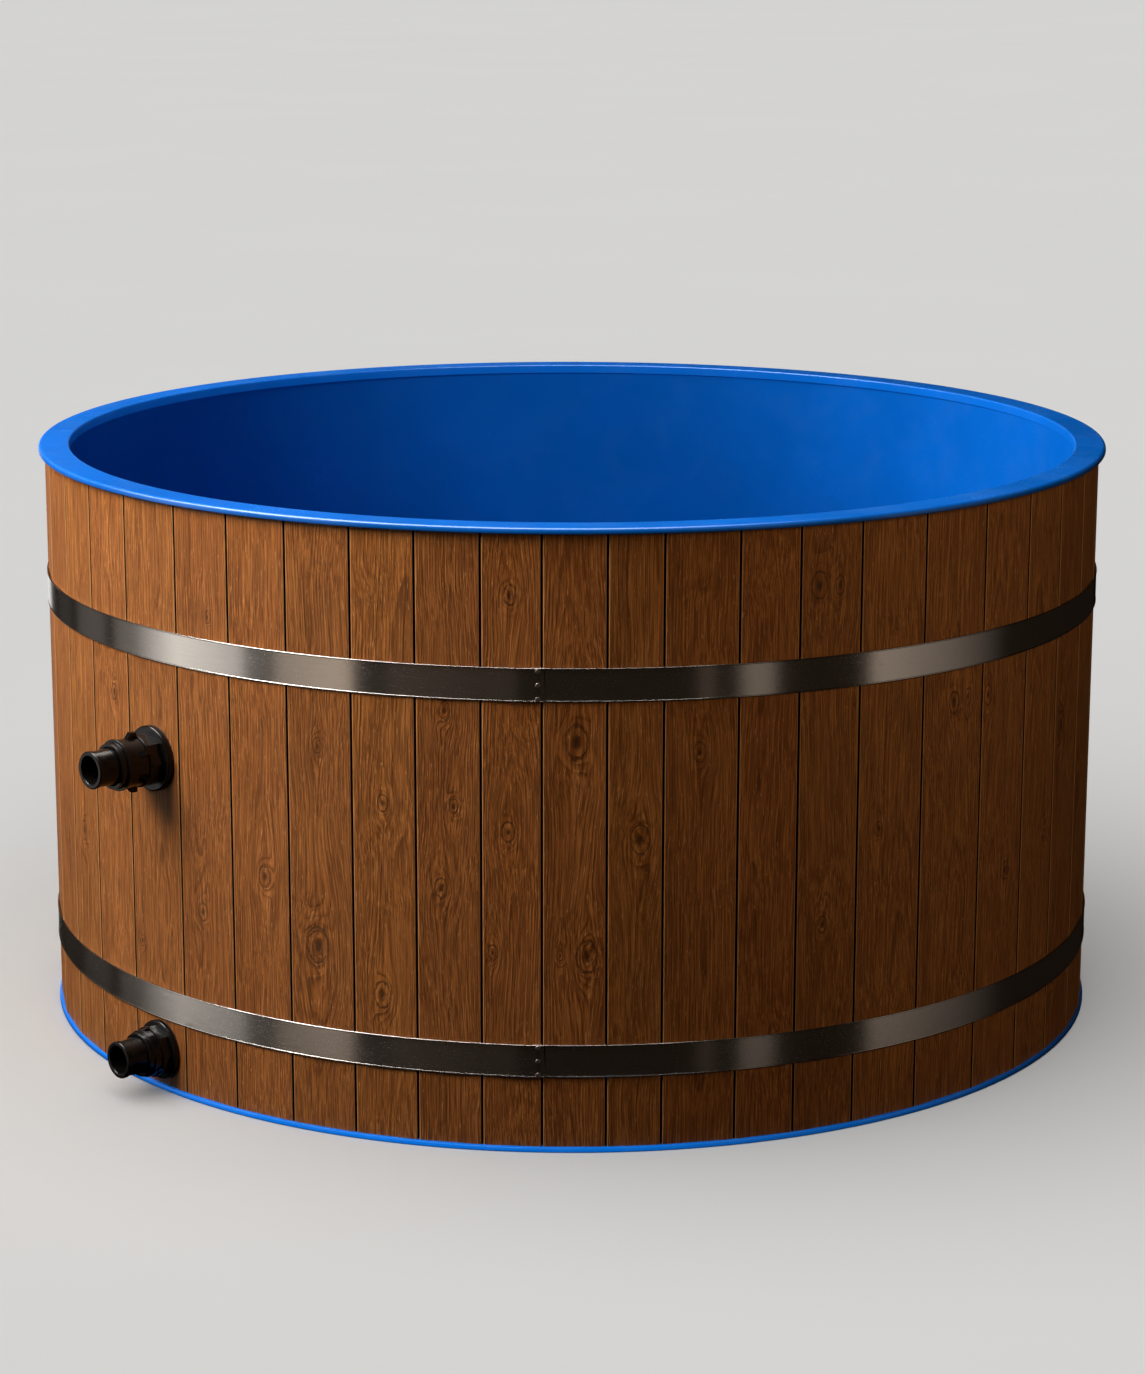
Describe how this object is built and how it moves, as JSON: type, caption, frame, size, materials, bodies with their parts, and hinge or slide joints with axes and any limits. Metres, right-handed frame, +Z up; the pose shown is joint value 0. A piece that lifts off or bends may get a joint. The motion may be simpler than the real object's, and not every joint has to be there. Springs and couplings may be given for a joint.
{
  "type": "cold plunge tub",
  "caption": "Round cold plunge tub: blue plastic vessel clad in upright wooden staves, held by steel hoops, with an upper and a lower hose fitting through the wall.",
  "frame": {"origin": "on the tub's axis, at the underside of the floor plate, where it stands on the floor", "axes": "+Z up along the tub's axis; the hoops' riveted seams face -Y, and the hose fittings point out of the wall 48.4 degrees round from -Y towards -X"},
  "size_m": [1.6, 1.6, 0.857],
  "materials": {
    "blue_polypropylene": "satin blue welded sheet",
    "stave_wood": "brown heat-treated softwood, oiled",
    "insulating_foam": "closed-cell foam",
    "hoop_steel": "brushed along its length",
    "rivet_steel": "dull steel",
    "fitting_plastic": "moulded black plastic, satin",
    "seal_rubber": "black rubber"
  },
  "bodies": {
    "root": {"floor_plate": "blue_polypropylene", "liner_wall": "blue_polypropylene", "foam_jacket": "insulating_foam", "rim": "blue_polypropylene", "upper_hoop": "hoop_steel", "upper_hoop_rivets": "rivet_steel", "lower_hoop": "hoop_steel", "lower_hoop_rivets": "rivet_steel", "stave_01": "stave_wood", "staves_18_35": "stave_wood", "stave_02": "stave_wood", "staves_19_36": "stave_wood", "stave_03": "stave_wood", "staves_20_37": "stave_wood", "stave_04": "stave_wood", "staves_21_38": "stave_wood", "stave_05": "stave_wood", "staves_22_39": "stave_wood", "stave_06": "stave_wood", "staves_23_40": "stave_wood", "stave_07": "stave_wood", "staves_24_41": "stave_wood", "stave_08": "stave_wood", "staves_25_42": "stave_wood", "stave_09": "stave_wood", "staves_26_43": "stave_wood", "stave_10": "stave_wood", "staves_27_44": "stave_wood", "stave_11": "stave_wood", "staves_28_45": "stave_wood", "stave_12": "stave_wood", "staves_29_46": "stave_wood", "stave_13": "stave_wood", "staves_30_47": "stave_wood", "stave_14": "stave_wood", "staves_31_48": "stave_wood", "stave_15": "stave_wood", "staves_32_49": "stave_wood", "stave_16": "stave_wood", "staves_33_50": "stave_wood", "stave_17": "stave_wood", "staves_34_51": "stave_wood", "upper_fitting_body": "fitting_plastic", "upper_inner_gasket": "seal_rubber", "upper_outer_gasket": "seal_rubber", "upper_back_nut": "fitting_plastic", "lower_fitting_body": "fitting_plastic", "lower_inner_gasket": "seal_rubber", "lower_outer_gasket": "seal_rubber", "lower_back_nut": "fitting_plastic"},
    "upper_hose_tail": {"upper_hose_tail": "fitting_plastic", "upper_o_ring": "seal_rubber"},
    "upper_union_nut": {"upper_union_nut": "fitting_plastic"},
    "upper_grille": {"upper_grille": "fitting_plastic"},
    "lower_hose_tail": {"lower_hose_tail": "fitting_plastic", "lower_o_ring": "seal_rubber"},
    "lower_union_nut": {"lower_union_nut": "fitting_plastic"},
    "lower_grille": {"lower_grille": "fitting_plastic"}
  },
  "joints": [
    {"name": "upper_tail_slide", "type": "slide", "parent": "root", "child": "upper_hose_tail", "axis": [-0.7477, -0.664, 0], "range_m": [0, 0.0135]},
    {"name": "upper_union_turn", "type": "hinge", "parent": "upper_hose_tail", "child": "upper_union_nut", "pos_m": [-0.58992, -0.52386, 0.484], "axis": [-0.7477, -0.664, 0], "range_deg": [0, 780]},
    {"name": "upper_grille_pull", "type": "slide", "parent": "root", "child": "upper_grille", "axis": [0.7477, 0.664, 0], "range_m": [0, 0.04]},
    {"name": "lower_tail_slide", "type": "slide", "parent": "root", "child": "lower_hose_tail", "axis": [-0.7477, -0.664, 0], "range_m": [0, 0.0075]},
    {"name": "lower_union_turn", "type": "hinge", "parent": "lower_hose_tail", "child": "lower_union_nut", "pos_m": [-0.58992, -0.52386, 0.059], "axis": [-0.7477, -0.664, 0], "range_deg": [0, 420]},
    {"name": "lower_grille_pull", "type": "slide", "parent": "root", "child": "lower_grille", "axis": [0.7477, 0.664, 0], "range_m": [0, 0.04]}
  ],
  "couplings": [
    {"joint": "upper_tail_slide", "follows": "upper_union_turn", "m_per_rad": 0.00095493},
    {"joint": "lower_tail_slide", "follows": "lower_union_turn", "m_per_rad": 0.00095493}
  ]
}
